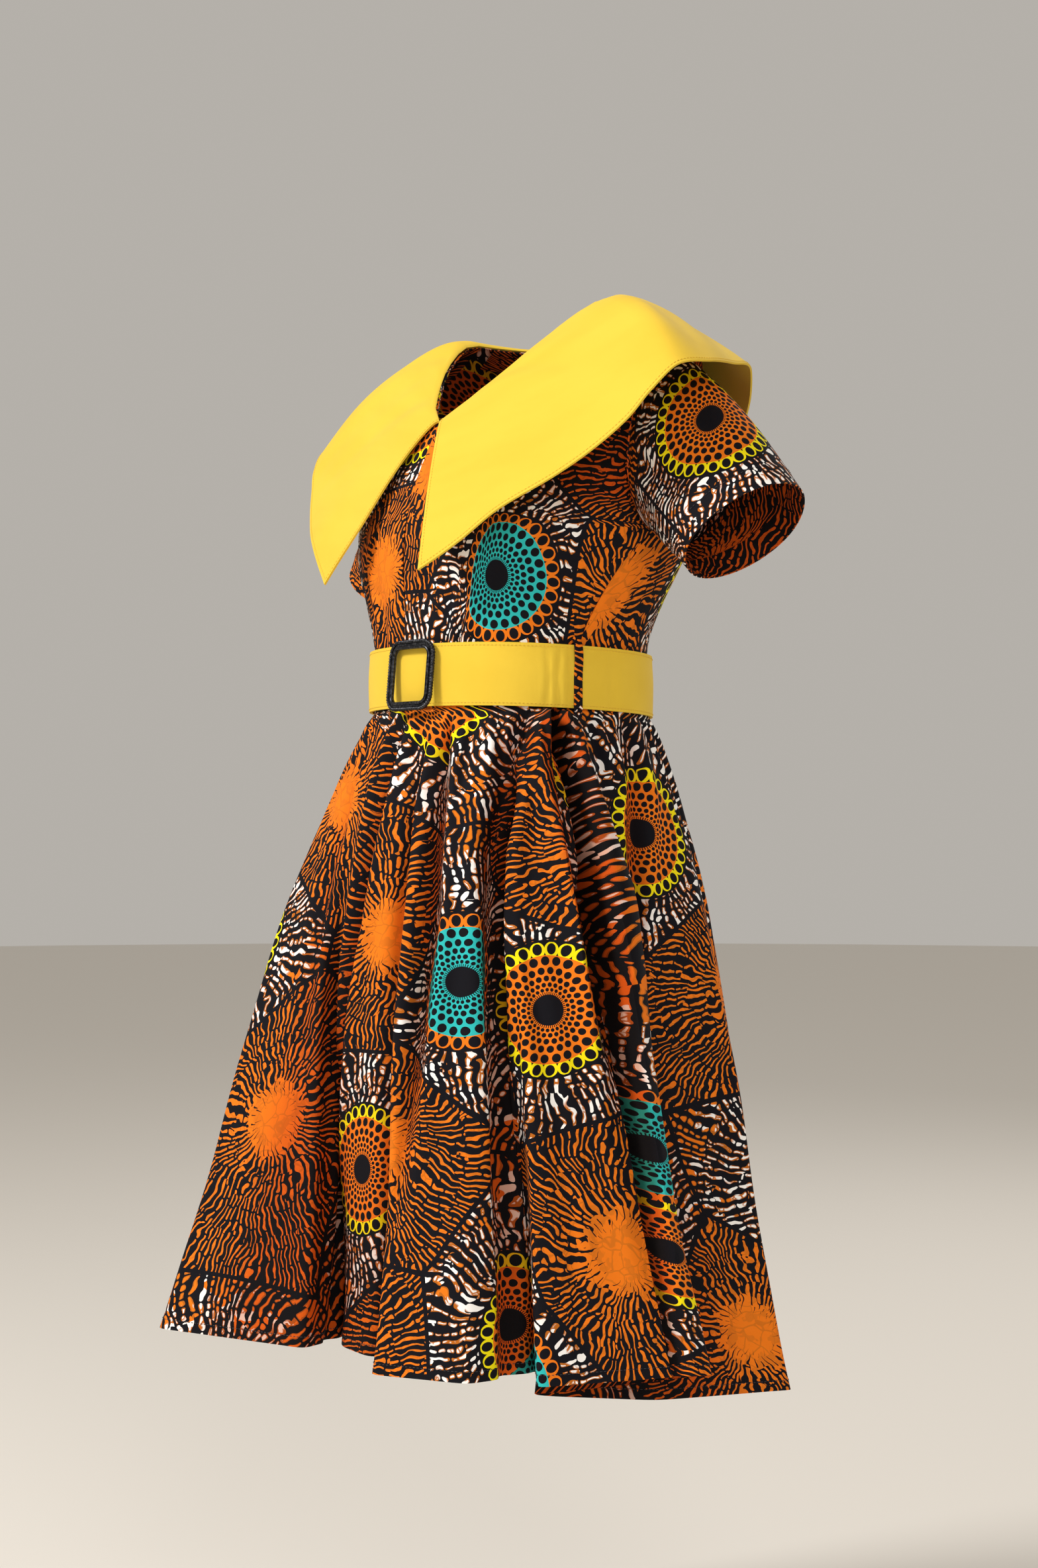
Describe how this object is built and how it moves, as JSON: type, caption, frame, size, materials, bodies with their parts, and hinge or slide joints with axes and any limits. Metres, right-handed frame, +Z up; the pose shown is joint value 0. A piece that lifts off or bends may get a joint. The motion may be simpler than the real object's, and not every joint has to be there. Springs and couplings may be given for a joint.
{
  "type": "dress",
  "caption": "Knee-length flared short-sleeved dress of patterned wax print cotton, with a pointed cape collar and a wide plain belt with a frame buckle, in its hollow worn form.",
  "frame": {"origin": "on the centre line between the side neck points, where the shoulders hold the dress", "axes": "+Z up along the wearer, -Y the way the front faces, +X the wearer's left"},
  "size_m": [0.6194, 0.5341, 0.9799],
  "materials": {
    "print_cotton": "matte wax print cotton, orange and white on navy black",
    "plain_cotton": "matte plain yellow cotton",
    "gunmetal": "dark gunmetal lacquer, half gloss"
  },
  "bodies": {
    "root": {"bodice_front_left": "print_cotton", "bodice_front_right": "print_cotton", "bodice_back": "print_cotton", "neck_facing_front_left": "print_cotton", "neck_facing_front_right": "print_cotton", "neck_facing_back": "print_cotton", "sleeve_left": "print_cotton", "sleeve_right": "print_cotton", "collar": "plain_cotton", "skirt_front": "print_cotton", "skirt_back": "print_cotton", "pocket_bag_left": "print_cotton", "belt": "plain_cotton", "belt_carrier_left": "print_cotton", "belt_carrier_right": "print_cotton", "buckle": "gunmetal"}
  },
  "joints": []
}
